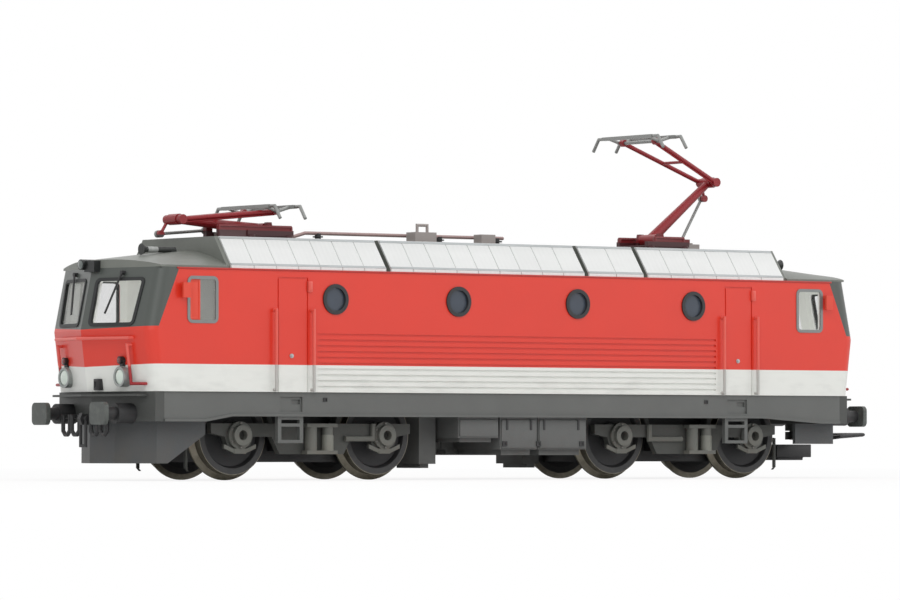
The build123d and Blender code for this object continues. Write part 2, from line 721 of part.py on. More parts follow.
def make_panto_base():
    b = bed
    z1 = panto_z - b["drop"]
    z0 = z1 - b["h"]
    frame = []
    for x in (b["x0"], -b["beam"] / 2, b["x1"] - b["beam"]):
        frame.append(block(x, x + b["beam"], -b["y"], b["y"], z0, z0 + b["tie"]))
    for side in (-1, 1):
        y = side * b["y"]
        frame.append(block(b["x0"], b["x1"], y - b["beam"] / 2, y + b["beam"] / 2, z0, z1))
        for x in (b["x0"] + b["beam"], b["x1"] - b["beam"]):
            frame.append(post(x, y, roof_z, z0 + b["tie"], b["foot_r"]))
        y = side * tower["y"]
        half = tower["t"] / 2
        top = panto_z + tower["up"]
        cap = [(-tower["half"], z0), (tower["half"], z0), (half, top), (-half, top)]
        frame.append(prism_y(cap, y - half, y + half))
    foot_x, foot_z = panto_points(low_deg)["foot"]
    y1 = rod_y - rod_w
    z2 = foot_z + bracket["stem"]
    frame.append(block(b["x1"] - b["beam"], foot_x, y1 - rod_w, y1, z0, z0 + bracket["stem"]))
    frame.append(block(foot_x - bracket["back"], foot_x + bracket["front"], bracket["y0"], y1, roof_z, z2))
    frame.append(cross_tube(foot_x, foot_z, y1 - rod_w, rod_y + rod_w, small_pin_r))
    return joined(frame) - cross_tube(0, panto_z, -b["y"], b["y"], pin_r + run_gap)


def make_drive():
    d = drive
    z1 = roof_z + d["h"]
    x = (d["x0"] + d["x1"]) / 2
    peg = post(x, d["y0"] + 2 * d["peg_r"], z1 - d["peg_h"], z1 + d["peg_h"], d["peg_r"])
    return block(d["x0"], d["x1"], d["y0"], d["y1"], roof_z, z1) + peg


def make_lower_arm(deg):
    x, z = panto_points(deg)["knee"]
    limb = tube((0, 0, panto_z), (x, 0, z), arm["root_r"], arm["tip_r"])
    limb += cross_tube(0, panto_z, -tower["y"] - tower["t"] / 2, tower["y"] + tower["t"] / 2, pin_r)
    limb += cross_tube(0, panto_z, -arm["hub_y"], arm["hub_y"], arm["root_r"])
    limb += cross_tube(x, z, -arm["knee_y"], arm["knee_y"], arm["knee_r"])
    return limb - cross_tube(x, z, -arm["knee_y"], arm["knee_y"], pin_r + run_gap)


def make_upper_arm(deg):
    at = panto_points(deg)
    (kx, kz), (hx, hz), (cx, cz) = at["knee"], at["head"], at["heel"]
    inner = arm["knee_y"] + fork["gap"]
    root = (inner + fork["y"]) / 2
    limb = cross_tube(kx, kz, -fork["y"], fork["y"], pin_r)
    for side in (-1, 1):
        limb += cross_tube(kx, kz, side * inner, side * fork["y"], fork["r"])
        limb += tube((kx, side * root, kz), (hx, side * fork["end_y"], hz), arm["upper_r"])
        near, far = fork["end_y"] - fork["end_t"] / 2, fork["end_y"] + fork["end_t"] / 2
        limb += cross_tube(hx, hz, side * near, side * far, eye_r)
    half = (fork["end_y"] + root) / 2
    limb += cross_tube((kx + hx) / 2, (kz + hz) / 2, -half, half, fork["tie"])
    low = fork["set"]
    limb += wire([(kx, -root, kz - low), (hx, -fork["end_y"], hz - low)], fork["guide"])
    y1 = rod_y - rod_w
    limb += tube((kx, root, kz), (cx, y1, cz), fork["tie"])
    limb += cross_tube(cx, cz, y1 - rod_w / 2, y1 + rod_w / 2, eye_r)
    end = fork["end_y"] + fork["end_t"]
    return limb - cross_tube(hx, hz, -end, end, small_pin_r + run_gap)


def make_head(deg):
    hx, hz = panto_points(deg)["head"]
    end = fork["end_y"] + fork["end_t"] / 2 + strip["bow_y"]
    head = cross_tube(hx, hz, -end, end, small_pin_r)
    top = hz + strip["up"]
    low = top - strip["h"]
    middle = (top + low) / 2
    for way in (-1, 1):
        x = hx + way * strip["gap"] / 2
        half = strip["half"]
        bars = [block(x - strip["w"] / 2, x + strip["w"] / 2, -half, half, low, top)]
        for side in (-1, 1):
            y = side * (half - strip["set"])
            bend = side * (half + strip_horn["flat"])
            tip = (x, side * (half + strip_horn["reach"]), middle - strip_horn["drop"])
            bars.append(wire([(x, y, middle), (x, bend, middle), tip], strip_horn["r"]))
            y = side * (end - strip["set"] - small_pin_r)
            bars.append(wire([(hx, y, hz), (x, y, middle)], small_pin_r))
        head += joined(bars)
    return head


def make_rod(deg):
    at = panto_points(deg)
    (cx, cz), (dx, dz) = at["heel"], at["foot"]
    middle = rod_y + rod_w / 2
    rod = tube((dx, middle, dz), (cx, middle, cz), rod_r)
    for x, z in (at["heel"], at["foot"]):
        rod += cross_tube(x, z, rod_y, rod_y + rod_w, eye_r)
    return rod - cross_tube(dx, dz, rod_y, rod_y + rod_w, small_pin_r + run_gap)


def place(shape, end):
    moved = Pos(roof_end - panto_back["rear" if end > 0 else "front"], 0, 0) * shape
    return moved if end > 0 else mirror(moved, about=Plane.YZ)


def make_bogie_frame():
    x = half_base + gear["end"]
    y = back_to_back / 2 - gear["in"]
    z1 = axle_z + gear["shoulder"]
    top = floor_z - gear["gap"]
    core = block(-x, x, -y, y, axle_z - gear["down"], z1)
    core += block(-gear["half"], gear["half"], -y, y, z1, top)
    half = half_base - wheel_r - cross_bar["gap"]
    core += block(-half, half, -frame_y, frame_y, axle_z - cross_bar["down"], axle_z + cross_bar["up"])
    core += post(0, 0, top, floor_top, pivot_r)
    for end in (-1, 1):
        core -= cross_tube(end * half_base, axle_z, -y, y, axle_r + run_gap)
    return core


def frame_outline():
    e = frame_edge
    waist = frame_top - e["waist"]
    half = [(half_base + frame_end, frame_top), (half_base + frame_end, frame_top - e["end"])]
    half += [(half_base + e["axle"], waist), (half_base + e["axle_foot"], axle_z - e["foot"])]
    half += [(half_base - e["axle_foot"], axle_z - e["foot"]), (half_base - e["axle"], waist)]
    half += [(plank["top"], waist), (plank["foot"], axle_z - e["plank"])]
    return half + [(-x, z) for x, z in half[::-1]]


def make_bogie_side(look):
    side = prism_y(frame_outline(), -frame_face, -frame_y)
    c = axle_cover
    for end in (-1, 1):
        x = end * half_base
        side += cross_tube(x, axle_z, -frame_face - c["base"] * layer, -frame_y, c["r"])
        ring = cross_tube(x, axle_z, -frame_face - c["ring"] * layer, -frame_y, c["ring_r"])
        side += ring
        side -= cross_tube(x, axle_z, -frame_face - c["ring"] * layer, -frame_face, c["hole_r"])
    low = axle_z - frame_edge["plank"]
    for row in look["columns"]:
        r = row["share"] * layer
        side += post(row["x"], r - bogie_reach, low, frame_top, r)
    x0 = min(row["x"] for row in look["columns"]) - plank["over"] * layer / 2
    x1 = max(row["x"] for row in look["columns"]) + plank["over"] * layer / 2
    side += block(x0, x1, -bogie_reach, -frame_face, low, low + plank["t"])
    side += block(x0, x1, -bogie_reach, -frame_face, frame_top - plank["t"], frame_top)
    y = -frame_face - pipe["set"]
    z = axle_z - pipe["down"]
    side += wire([(look["pipe"], y, z), (look["riser"], y, z), (look["riser"], y, frame_top)], pipe["r"])
    return side


def make_wheelset():
    r = tread_d / 2
    inner = back_to_back / 2
    rim = r - rim_t
    profile = [(0, 0), (axle_r, 0), (axle_r, inner), (wheel_r, inner), (wheel_r, inner + flange_t)]
    profile += [(r, inner + flange), (r, wheel_y), (rim, wheel_y)]
    profile += [(rim - flange_t, wheel_y - flange), (0, wheel_y - flange)]
    half = revolve(make_face(Polyline(*profile, close=True)), axis=Axis.Y)
    return half + mirror(half, about=Plane.XZ)


def coupler_point(lead, y, up):
    return (wall_x + coupler["lead"] + lead, y, coupler["z"] + up)


def make_coupler():
    c = coupler
    h = coupler_head
    pin_x, z = wall_x + c["lead"], c["z"]
    z0, z1 = z - c["t"] / 2, z + c["t"] / 2
    body = post(pin_x, 0, z0, z1, c["eye_r"])
    body += block(pin_x, pin_x + c["arm"], -c["arm_w"] / 2, c["arm_w"] / 2, z0, z1)
    body += block(pin_x + h["x0"], pin_x + h["x1"], -h["w"] / 2, h["w"] / 2, z - h["down"], z + h["up"])
    path = [coupler_point(loop["x0"], -loop["root"], -loop["dip"])]
    path.append(coupler_point(loop["x1"], -loop["half"], -loop["rise"]))
    path.append(coupler_point(loop["reach"], -loop["half"], loop["rise"]))
    body += wire(path + [(x, -y, up) for x, y, up in path[::-1]], loop["r"])
    return body - post(pin_x, 0, z0, z1, c["pin_r"] + run_gap)


def make_coupler_pin():
    c = coupler
    pin_x = wall_x + c["lead"]
    low = c["z"] - c["t"] / 2 - run_gap
    pin = post(pin_x, 0, low, sill_end_low, c["pin_r"])
    return pin + post(pin_x, 0, c["z"] + c["t"] / 2 + 4 * run_gap, sill_end_low, c["eye_r"])


nodes = {}
nodes["side_wall_left"], nodes["side_wall_right"] = sides(make_side_wall())
for name, nose in zip(("front", "rear"), ends(make_nose_half())):
    nodes[f"nose_{name}_left"], nodes[f"nose_{name}_right"] = sides(nose)
nodes["sill_left"], nodes["sill_right"] = sides(make_sill())
nodes["buffer_beam_front"], beam_rear = ends(make_beam())
nodes["buffer_beam_rear"] = beam_rear + make_coupler_pin()
nodes["chassis"] = make_chassis()
nodes["mass_block"] = make_mass_block()
for number, (x0, x1) in enumerate(hatch_spans(), 1):
    nodes[f"roof_hatch_{number}"] = make_hatch(x0, x1)
nodes["roof_grilles"] = group(make_grilles())
nodes["cab_roof_front"], nodes["cab_roof_rear"] = ends(make_cab_roof())
nodes["cab_glass"] = group(make_cab_glass())
rims, panes = make_porthole_parts()
nodes["porthole_rims"] = group(rims)
nodes["porthole_glass"] = group(panes)
nodes["cab_interior_front"], nodes["cab_interior_rear"] = ends(make_cab_interior())
nodes["lamps"] = group(corners(make_lamps()) + ends(make_top_lamp()))
nodes["wipers"] = group(corners(make_wiper()))
nodes["mirrors"] = group(corners(make_mirror()))
nodes["door_handrails"] = group(make_door_rails())
nodes["end_handrails"] = group([copy for rail in make_end_rails() for copy in ends(rail)])
nodes["horns"] = group(ends(make_horn()))
nodes["buffers"] = group(corners(make_buffer()))
nodes["draw_gear"] = make_draw_gear()
nodes["brake_hoses"] = group(make_hoses())
nodes["snowplough"] = make_plough()
nodes["rail_guards"] = group(sides(make_plough_cheek()) + sides(make_rear_guard()))
nodes["door_steps"] = group(make_steps())
nodes["equipment_boxes"] = group(make_boxes())
nodes["roof_busbar"] = make_busbar()
nodes["roof_insulators"] = group(make_insulators())
nodes["roof_switchgear"] = group(make_switchgear())
nodes["coupler"] = make_coupler()
nodes["pantograph_drives"] = group([place(make_drive(), end) for end in (-1, 1)])
bogie_frame = make_bogie_frame()
near_side, far_side = [make_bogie_side(look) for look in bogie_looks]
bogie_sides = group([near_side, Rot(0, 0, 180) * far_side])
wheelset = make_wheelset()
number = 0
for name, end, deg in (("front", -1, low_deg), ("rear", 1, high_deg)):
    nodes[f"pantograph_base_{name}"] = place(make_panto_base(), end)
    nodes[f"lower_arm_{name}"] = place(make_lower_arm(deg), end)
    nodes[f"upper_arm_{name}"] = place(make_upper_arm(deg), end)
    nodes[f"pan_head_{name}"] = place(make_head(deg), end)
    nodes[f"coupling_rod_{name}"] = place(make_rod(deg), end)
    at = Pos(end * pivot_x, 0, 0) * Rot(0, 0, 90 + 90 * end)
    nodes[f"bogie_frame_{name}"] = at * bogie_frame
    nodes[f"bogie_sides_{name}"] = at * bogie_sides
    for step in (-1, 1):
        number += 1
        nodes[f"wheelset_{number}"] = Pos(end * pivot_x + step * half_base, 0, axle_z) * wheelset

os.makedirs("parts", exist_ok=True)
for name, shape in nodes.items():
    export_step(shape, f"parts/{name}.step")
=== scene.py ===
import bpy
import math
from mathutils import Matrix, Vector


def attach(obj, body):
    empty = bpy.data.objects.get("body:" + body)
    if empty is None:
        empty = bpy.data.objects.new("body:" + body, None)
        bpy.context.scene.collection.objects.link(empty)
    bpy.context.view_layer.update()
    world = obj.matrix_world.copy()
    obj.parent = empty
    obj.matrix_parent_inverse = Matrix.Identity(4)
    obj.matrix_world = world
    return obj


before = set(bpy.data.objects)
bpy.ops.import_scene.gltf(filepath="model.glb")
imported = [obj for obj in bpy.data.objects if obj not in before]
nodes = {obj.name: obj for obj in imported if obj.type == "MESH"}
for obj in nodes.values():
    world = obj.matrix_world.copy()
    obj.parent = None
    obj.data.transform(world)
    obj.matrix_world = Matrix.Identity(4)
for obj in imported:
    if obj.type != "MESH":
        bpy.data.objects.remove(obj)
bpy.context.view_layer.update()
bpy.ops.object.select_all(action="DESELECT")
mm = 0.001
ahead, left = (-1, 0, 0), (0, -1, 0)
up, down = (0, 0, 1), (0, 0, -1)


class Sock:
    # one output of a shader node, with arithmetic that adds nodes
    def __init__(self, tree, out=None):
        self.tree = tree
        self.out = out

    def add(self, kind, settings=None, inputs=None, out=0):
        node = self.tree.nodes.new(kind)
        for key, value in (settings or {}).items():
            setattr(node, key, value)
        for key, value in (inputs or {}).items():
            if isinstance(value, Sock):
                self.tree.links.new(value.out, node.inputs[key])
            else:
                node.inputs[key].default_value = value
        return Sock(self.tree, node.outputs[out])

    def maths(self, operation, first, second=0.0, clamp=False):
        settings = {"operation": operation, "use_clamp": clamp}
        return self.add("ShaderNodeMath", settings, {0: first, 1: second})

    def __add__(self, other):
        return self.maths("ADD", self, other)

    __radd__ = __add__

    def __sub__(self, other):
        return self.maths("SUBTRACT", self, other)

    def __rsub__(self, other):
        return self.maths("SUBTRACT", other, self)

    def __mul__(self, other):
        return self.maths("MULTIPLY", self, other)

    def __truediv__(self, other):
        return self.maths("DIVIDE", self, other)

    def squared(self):
        return self * self

    def size(self):
        return self.maths("ABSOLUTE", self)

    def above(self, edge, soft):
        # 1 above the edge and 0 below it, with a soft step
        return self.maths("ADD", (self - edge) / soft, 0.5, clamp=True)

    def below(self, edge, soft):
        return self.maths("ADD", (edge - self) / soft, 0.5, clamp=True)

    def mixed(self, first, second):
        # the first colour at 0, the second at 1
        return self.add("ShaderNodeMix", {"data_type": "RGBA"}, {0: self, 6: first, 7: second}, out=2)

    def varied(self, colour, low, high):
        return self.mixed(shade(colour, low), shade(colour, high))


roughSpread = 0.16
colourEdge = 0.06  # how sharp two paints meet, in millimetres


class Finish:
    # one material with its shader, its coordinates in millimetres and its noise
    def __init__(self, name, **sockets):
        self.material = bpy.data.materials.new(name)
        self.material.use_nodes = True
        tree = self.material.node_tree
        tree.nodes.clear()
        self.sock = Sock(tree)
        self.shader = tree.nodes.new("ShaderNodeBsdfPrincipled")
        output = tree.nodes.new("ShaderNodeOutputMaterial")
        tree.links.new(self.shader.outputs[0], output.inputs[0])
        for key, value in sockets.items():
            self.shader.inputs[key.replace("_", " ")].default_value = value
        self.spot = self.sock.add("ShaderNodeTexCoord", out="Object")
        parts = tree.nodes.new("ShaderNodeSeparateXYZ")
        tree.links.new(self.spot.out, parts.inputs[0])
        self.x, self.y, self.z = (Sock(tree, end) * (1 / mm) for end in parts.outputs)

    def noise(self, grain, detail=3.0, stretch=(1, 1, 1)):
        scale = tuple(s / (grain * mm) for s in stretch)
        placed = self.sock.add("ShaderNodeMapping", inputs={"Vector": self.spot, "Scale": scale})
        settings = {"Vector": placed, "Scale": 1.0, "Detail": detail}
        return self.sock.add("ShaderNodeTexNoise", inputs=settings)

    def feed(self, **sockets):
        for key, value in sockets.items():
            self.sock.tree.links.new(value.out, self.shader.inputs[key.replace("_", " ")])
        return self

    def rough(self, fine, level):
        return self.feed(Roughness=fine * roughSpread + (level - roughSpread / 2))

    def bump(self, height, depth):
        settings = {"Height": height, "Distance": depth * mm, "Strength": 1.0}
        return self.feed(Normal=self.sock.add("ShaderNodeBump", inputs=settings))


def rgb(red, green, blue):
    # screen colour, 0 to 255, to linear
    def line(v):
        v = v / 255
        return v / 12.92 if v < 0.04045 else ((v + 0.055) / 1.055) ** 2.4

    return (line(red), line(green), line(blue), 1.0)


def shade(colour, by):
    return tuple(c * by for c in colour[:3]) + (1.0,)


def plainFinish(name, colour, rough=0.45, grain=0.35, depth=0.01, **sockets):
    f = Finish(name, **sockets)
    fine = f.noise(grain)
    f.feed(Base_Color=f.noise(6.0).varied(colour, 0.88, 1.12))
    return f.rough(fine, rough).bump(fine, depth)


# the studio light that reaches a closed cab, as a faint glow of its inner faces
cabGlow = 0.36

livery = {
    "red": rgb(214, 46, 24), "white": rgb(224, 226, 221), "cabGrey": rgb(68, 73, 69),
    # the darkest colour here is painted shade for the porthole bores and the cab windows' edges
    "inside": rgb(222, 223, 219), "paintedShade": rgb(44, 46, 50), "skin": 0.6,
    "bandTop": 21.7, "bandFall": 0.03, "dustTop": 20.0,
    "cabFoot": 28.7, "cabFall": 0.03, "wedgeTop": (78.6, 39.7), "wedgeLow": (83.4, 28.2),
    "portX": (-43.3, -14.4, 14.5, 43.4), "portZ": 34.2, "boreR": 2.3,
    "windowX": (69.6, 78.0), "windowZ": 28.8, "windowSkin": 0.1,
}
nose = {
    "wallX": 80.0, "halfW": 17.0, "rake": 0.256, "sillZ": 16.6, "creaseZ": 28.0,
    "low": 3.65, "rise": 1.5 / 11.4, "crease": 5.15, "fall": 2.5 / 11.7,
}


def noseLine(y, z):
    # how far the nose's face lies from the middle, for the left and right half alike
    if z < nose["creaseZ"]:
        lead = nose["low"] + (z - nose["sillZ"]) * nose["rise"]
    else:
        lead = nose["crease"] - (z - nose["creaseZ"]) * nose["fall"]
    return nose["wallX"] + lead + nose["rake"] * (nose["halfW"] - abs(y))


def shellFinish():
    v = livery
    f = Finish("shellPaint", Coat_Weight=0.25, Coat_Roughness=0.18, Emission_Strength=cabGlow)
    farX, farY = f.x.size(), f.y.size()
    across = nose["halfW"] - farY
    # on the nose both colour edges sink towards the middle
    topX, topZ = v["wedgeTop"]
    lowX, lowZ = v["wedgeLow"]
    wedge = (farX + (f.z - topZ) * ((lowX - topX) / (topZ - lowZ))).above(topX, colourEdge)
    cab = wedge * (f.z + across * v["cabFall"]).above(v["cabFoot"], colourEdge)
    band = (f.z + across * v["bandFall"]).below(v["bandTop"], colourEdge)
    # the inner faces lie deeper than the skin
    lower = (f.z - nose["sillZ"]) * nose["rise"] + nose["low"]
    upper = (nose["creaseZ"] - f.z) * nose["fall"] + nose["crease"]
    lead = f.sock.maths("MINIMUM", lower, upper)
    depth = lead + across * nose["rake"] + nose["wallX"] - farX
    inside = depth.above(v["skin"], 0.05) * farY.below(nose["halfW"] - v["skin"], 0.05)
    # painted shade: the bores behind the porthole rims and the edges of the cab windows are painted near
    # black, where shade falls in them
    fromZ = (f.z - v["portZ"]).squared()
    bores = sum(((f.x - x).squared() + fromZ).below(v["boreR"] ** 2, 0.3) for x in v["portX"])
    start, end = v["windowX"]
    window = farX.above(start, 0.1) * farX.below(end, 0.1) * f.z.above(v["windowZ"], 0.1)
    paintedShade = bores + window * farY.below(nose["halfW"] - v["windowSkin"], 0.05)
    mottle = f.noise(9.0)
    fine = f.noise(0.3)
    dust = f.noise(5.0, 4.0, (1, 1, 3)).above(0.62, 0.3) * f.z.below(v["dustTop"], 5.0)
    red = mottle.varied(v["red"], 0.95, 1.05)
    white = dust.mixed(mottle.varied(v["white"], 0.97, 1.0), shade(v["white"], 0.86))
    grey = mottle.varied(v["cabGrey"], 0.93, 1.07)
    paint = paintedShade.mixed(cab.mixed(band.mixed(red, white), grey), v["paintedShade"])
    f.feed(Base_Color=inside.mixed(paint, v["inside"]))
    f.feed(Emission_Color=inside.mixed(rgb(0, 0, 0), v["inside"]))
    f.feed(Roughness=fine * 0.1 + 0.36 + dust * 0.1)
    return f.bump(fine, 0.006)


wheelLook = {
    "treadR": 7.38, "rimR": 6.2, "disc": (rgb(30, 30, 31), rgb(46, 46, 48)),
    "face": (rgb(50, 50, 51), rgb(70, 70, 70)), "tread": (rgb(100, 95, 83), rgb(150, 145, 132)),
}


def wheelFinish(name, x, z):
    # black disc, paler rim face and a worn running tread
    v = wheelLook
    f = Finish(name)
    radius = f.sock.maths("SQRT", (f.x - x).squared() + (f.z - z).squared())
    tread = radius.above(v["treadR"], colourEdge)
    rim = radius.above(v["rimR"], 0.08)
    rings = f.sock.maths("SINE", radius * 40.0)
    grime = f.noise(1.2)
    disc, face, surfaceTone = (grime.mixed(*v[key]) for key in ("disc", "face", "tread"))
    f.feed(Base_Color=tread.mixed(rim.mixed(disc, face), surfaceTone))
    f.feed(Metallic=tread * 0.75 + rim * 0.1 + 0.05)
    f.feed(Roughness=tread * -0.24 + 0.58 + grime * 0.1)
    return f.bump(rings * rim, 0.004)


def bandFinish(name, high, low, edge, rough=0.45, depth=0.006, **sockets):
    # two colours that meet at a height
    f = Finish(name, **sockets)
    mottle = f.noise(6.0)
    fine = f.noise(0.35)
    foot, top = (mottle.varied(colour, 0.9, 1.08) for colour in (low, high))
    f.feed(Base_Color=f.z.above(edge, colourEdge).mixed(foot, top))
    return f.rough(fine, rough).bump(fine, depth)


def plateFinish(name, body, plate, edge, until=200.0):
    # a piece at both ends, with a stretch of its length in another colour
    f = Finish(name)
    fine = f.noise(0.35)
    rub = f.noise(1.5).above(0.6, 0.2)
    stretch = f.x.size().above(edge, colourEdge) * f.x.size().below(until, colourEdge)
    f.feed(Base_Color=stretch.mixed(f.noise(5.0).varied(body, 0.9, 1.1), rub.varied(plate, 0.9, 1.25)))
    return f.rough(fine, 0.5).bump(fine, 0.012)


def dirtyFinish(name, colour, dust, rough=0.55, plateY=0.0):
    # dust that lies thicker lower down, and painted shade on what lies behind plateY
    f = Finish(name)
    mottle = f.noise(4.0)
    fine = f.noise(0.3)
    low = f.z.below(7.5, 9.0) * mottle.above(0.5, 0.5)
    surfaceTone = low.mixed(fine.varied(colour, 0.86, 1.12), dust)
    # painted shade: behind plateY the colour is dimmed to between 0.36 and 0.5 of itself
    if plateY:
        surfaceTone = f.y.size().above(plateY, 0.3).mixed(fine.varied(colour, 0.36, 0.5), surfaceTone)
    f.feed(Base_Color=surfaceTone)
    f.feed(Roughness=fine * 0.18 + (rough - 0.08) + low * 0.15)
    return f.bump(fine, 0.015)


# the panels' painted shade along their top edge begins at the height given last
panelLook = {"colour": rgb(224, 225, 224), "lineRate": 5.8, "topShadeZ": 44.8}  # rate in radians per millimetre


def panelFinish():
    # silver roof panels with faint pressed lines and patchy painted shade towards the top edge
    v = panelLook
    f = Finish("grilleSilver", Coat_Weight=0.1)
    mottle = f.noise(7.0, 3.0, (0.4, 1, 1))
    fine = f.noise(0.3)
    lines = f.sock.maths("SINE", f.x * v["lineRate"])
    # painted shade: in patches the colour dims towards 0.72 of itself along the top edge
    topShade = f.z.above(v["topShadeZ"], 2.6) * mottle * 0.5
    f.feed(Base_Color=topShade.mixed(mottle.varied(v["colour"], 0.93, 1.05), shade(v["colour"], 0.72)))
    f.feed(Roughness=fine * 0.12 + 0.34, Metallic=mottle * 0.1 + 0.12)
    return f.bump(lines * 0.6 + fine * 0.4, 0.02)


def glassFinish(name, colour, alpha, dull=0.0):
    # the front's left side pane and right windscreen can be duller than the others
    f = Finish(name, Roughness=0.06, IOR=1.45, Coat_Weight=0.4, Coat_Roughness=0.05)
    dust = f.noise(2.5)
    sideY = 15.0
    panes = f.y.below(-sideY, 1.0) + f.y.above(0.0, 1.0) * f.y.below(sideY, 1.0)
    front = f.x.below(0.0, 1.0) * panes * dull
    f.feed(Base_Color=dust.varied(colour, 0.9, 1.1), Alpha=dust * 0.06 + (alpha - 0.03) + front)
    return f.bump(f.noise(3.0), 0.004)


cabPaint = rgb(216, 217, 212)
finishes = {
    "shell": shellFinish(),
    "skirt": plainFinish("skirtGrey", rgb(91, 93, 91), 0.5),
    "beam": plainFinish("beamGrey", rgb(66, 68, 66), 0.52),
    "plough": dirtyFinish("ploughGrey", rgb(76, 79, 81), rgb(88, 86, 82)),
    "cabRoof": plainFinish("roofGrey", rgb(112, 115, 109), 0.42),
    "silver": panelFinish(),
    "trim": plainFinish("panelTrim", rgb(176, 180, 181), 0.36, Metallic=0.2),
    "gutter": plainFinish("gutterRed", rgb(176, 44, 38), 0.4),
    "diecast": plainFinish("diecastBlack", rgb(28, 28, 29), 0.5),
    "black": plainFinish("blackPlastic", rgb(36, 36, 37), 0.45),
    "buffer": plateFinish("bufferBlack", rgb(40, 40, 41), rgb(78, 82, 79), 91.3),
    "horn": plateFinish("hornBlack", rgb(46, 48, 47), rgb(168, 170, 168), 74.2, 76.4),
    # the bogie sides get painted shade behind 12.35 mm from the middle
    "bogie": dirtyFinish("bogieGrey", rgb(96, 98, 93), rgb(104, 101, 93), plateY=12.35),
    "boxes": dirtyFinish("boxGrey", rgb(94, 96, 95), rgb(84, 83, 80)),
    "damper": dirtyFinish("damperGrey", rgb(122, 124, 116), rgb(112, 108, 100)),
    "rimDark": plainFinish("rimRubber", rgb(32, 34, 37), 0.5),
    "seal": plainFinish("sealRubber", rgb(26, 28, 29), 0.55),
    "frameGrey": plainFinish("windowFrame", rgb(124, 127, 126), 0.35, Metallic=0.3),
    "lamp": bandFinish("lampBody", rgb(38, 40, 40), rgb(150, 154, 152), 21.25, 0.32, Metallic=0.35),
    # painted highlight: above their band edge both rails take a red lighter than the body's, for the
    # highlight on thin round rails
    "railBodyHighlit": bandFinish("railPaintHighlit", rgb(222, 92, 80), rgb(178, 177, 173), 21.7, 0.36),
    "railRedHighlit": bandFinish("railRedHighlit", rgb(222, 96, 86), rgb(158, 36, 40), 21.2, 0.42),
    "mirror": plainFinish("mirrorRed", rgb(214, 66, 46), 0.4),
    "pantoRed": bandFinish("pantographRed", rgb(138, 20, 28), rgb(70, 60, 60), 46.45, 0.4, 0.003),
    "baseRed": bandFinish("pantographBase", rgb(112, 16, 23), rgb(66, 22, 27), 47.4, 0.4, 0.003),
    "headGrey": plainFinish("contactGrey", rgb(142, 143, 141), 0.38, 1.5, 0.003, Metallic=0.4),
    "copper": plainFinish("busbarCopper", rgb(158, 132, 130), 0.42, Metallic=0.2),
    "switchGrey": plainFinish("switchGrey", rgb(158, 150, 147), 0.45),
    "cabInside": plainFinish("cabInside", cabPaint, 0.6, Emission_Color=cabPaint, Emission_Strength=cabGlow),
    "glass": glassFinish("cabGlass", rgb(76, 78, 80), 0.1, 0.3),
    "portGlass": glassFinish("portholeGlass", rgb(62, 71, 84), 0.9),
    "lens": plainFinish("lampLens", rgb(206, 218, 208), 0.12, Coat_Weight=0.8),
    "darkLens": plainFinish("topLampLens", rgb(86, 94, 92), 0.12, Coat_Weight=0.8),
    "tailLens": plainFinish("tailLens", rgb(96, 16, 18), 0.15, Coat_Weight=0.8),
    "steel": plainFinish("boltSteel", rgb(112, 110, 106), 0.4, Metallic=0.5),
}

# the finish of each CAD node, by the start of its name
nodeFinish = {
    "side_wall": "shell", "nose": "shell", "sill": "skirt", "buffer_beam": "beam",
    "chassis": "diecast", "mass_block": "diecast", "roof_hatch": "cabRoof", "cab_roof": "cabRoof",
    "roof_grilles": "silver", "cab_glass": "glass", "cab_interior": "cabInside",
    "porthole_rims": "rimDark", "porthole_glass": "portGlass", "lamps": "lamp", "wipers": "black",
    "mirrors": "mirror", "door_handrails": "railBodyHighlit", "end_handrails": "railRedHighlit", "horns": "horn",
    "buffers": "buffer", "draw_gear": "black", "brake_hoses": "black", "coupler": "black",
    "snowplough": "plough", "rail_guards": "plough", "door_steps": "skirt",
    "equipment_boxes": "boxes", "bogie_frame": "diecast", "bogie_sides": "bogie",
    "roof_busbar": "copper", "roof_insulators": "black", "roof_switchgear": "switchGrey",
    "pantograph_base": "baseRed", "pantograph_drives": "switchGrey", "lower_arm": "pantoRed",
    "upper_arm": "pantoRed", "pan_head": "headGrey", "coupling_rod": "headGrey",
}
bogie = {"pivotX": 45.4, "half": 16.665, "axleZ": 8.47}
axleX = [end * bogie["pivotX"] + axle * bogie["half"] for end in (-1, 1) for axle in (-1, 1)]
for number, x in enumerate(axleX, 1):
    finishes[f"wheel{number}"] = wheelFinish(f"wheelSteel{number}", x, bogie["axleZ"])
    nodeFinish[f"wheelset_{number}"] = f"wheel{number}"
for name, node in nodes.items():
    key = max((k for k in nodeFinish if name.startswith(k)), key=len)
    node.data.materials.clear()
    node.data.materials.append(finishes[nodeFinish[key]].material)
print("finishes set on", len(nodes), "nodes")


def pickOnly(*pieces):
    bpy.ops.object.select_all(action="DESELECT")
    for piece in pieces:
        piece.select_set(True)
    bpy.context.view_layer.objects.active = pieces[0]


def applyPlace():
    bpy.ops.object.transform_apply(location=True, rotation=True, scale=True)


def named(name):
    piece = bpy.context.object
    piece.name = name
    applyPlace()
    return piece


def addBlock(name, low, high):
    bpy.ops.object.select_all(action="DESELECT")
    size = [(b - a) * mm for a, b in zip(low, high)]
    middle = [(a + b) / 2 * mm for a, b in zip(low, high)]
    bpy.ops.mesh.primitive_cube_add(size=1, location=middle, scale=size)
    return named(name)


def addDrum(name, start, axis, radius, depth, sides=32):
    # a cylinder from its start point along an axis
    bpy.ops.object.select_all(action="DESELECT")
    way = Vector(axis).normalized()
    turn = way.to_track_quat("Z", "Y").to_euler()
    middle = (Vector(start) + way * depth / 2) * mm
    bpy.ops.mesh.primitive_cylinder_add(
        vertices=sides, radius=radius * mm, depth=depth * mm, location=middle, rotation=turn
    )
    return named(name)


